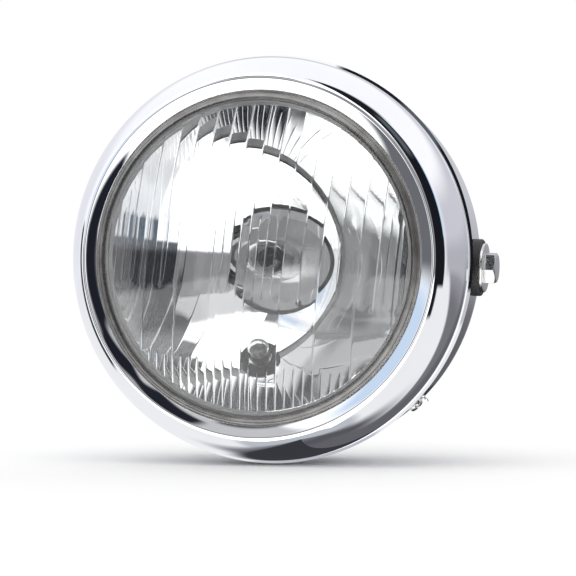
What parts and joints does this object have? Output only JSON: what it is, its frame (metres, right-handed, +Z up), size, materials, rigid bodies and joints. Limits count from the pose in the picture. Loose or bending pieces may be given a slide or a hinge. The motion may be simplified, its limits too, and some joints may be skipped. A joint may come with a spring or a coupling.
{
  "type": "motorcycle headlight",
  "caption": "Round motorcycle headlight: chromed rim, domed fluted glass lens and bulb reflector in a bowl-shaped housing that is held and aimed on side bolts.",
  "frame": {"origin": "where the lamp axis crosses the axis of the side bolts", "axes": "+Y points back along the lamp axis, so the lens faces -Y; +X runs along the side bolts to the right as seen from the front; +Z is up"},
  "size_m": [0.2006, 0.1264, 0.1862],
  "materials": {
    "rim_chrome": "mirror-bright chrome plate",
    "housing_chrome": "bright chrome plate",
    "lens_glass": "clear pressed glass, fluted on the inside",
    "mirror_coat": "bright reflector coat",
    "black_rubber": "matt moulded rubber",
    "plated_steel": "bright zinc plate",
    "spring_steel": "plain spring steel",
    "bulb_glass": "clear bulb glass",
    "bulb_metal": "dull plated sheet",
    "terminal_brass": "plain brass"
  },
  "bodies": {
    "root": {"housing_shell": "housing_chrome", "rim": "rim_chrome", "lens": "lens_glass", "lens_seal": "black_rubber", "reflector": "mirror_coat", "unit_clips": "spring_steel", "bulb_glass": "bulb_glass", "bulb_base": "bulb_metal", "bulb_terminals": "terminal_brass", "bulb_lock_ring": "bulb_metal", "bulb_boot": "black_rubber", "parking_bulb": "bulb_glass", "parking_holder": "bulb_metal", "parking_grommet": "black_rubber", "harness_grommet": "black_rubber", "side_bolt_right": "plated_steel", "side_bolt_left": "plated_steel", "flat_washer_right": "plated_steel", "flat_washer_left": "plated_steel", "rubber_washer_right": "black_rubber", "rubber_washer_left": "black_rubber", "weld_nut_right": "plated_steel", "weld_nut_left": "plated_steel", "rim_screw_right": "plated_steel", "rim_screw_left": "plated_steel", "clip_nut_right": "spring_steel", "clip_nut_left": "spring_steel"}
  },
  "joints": []
}
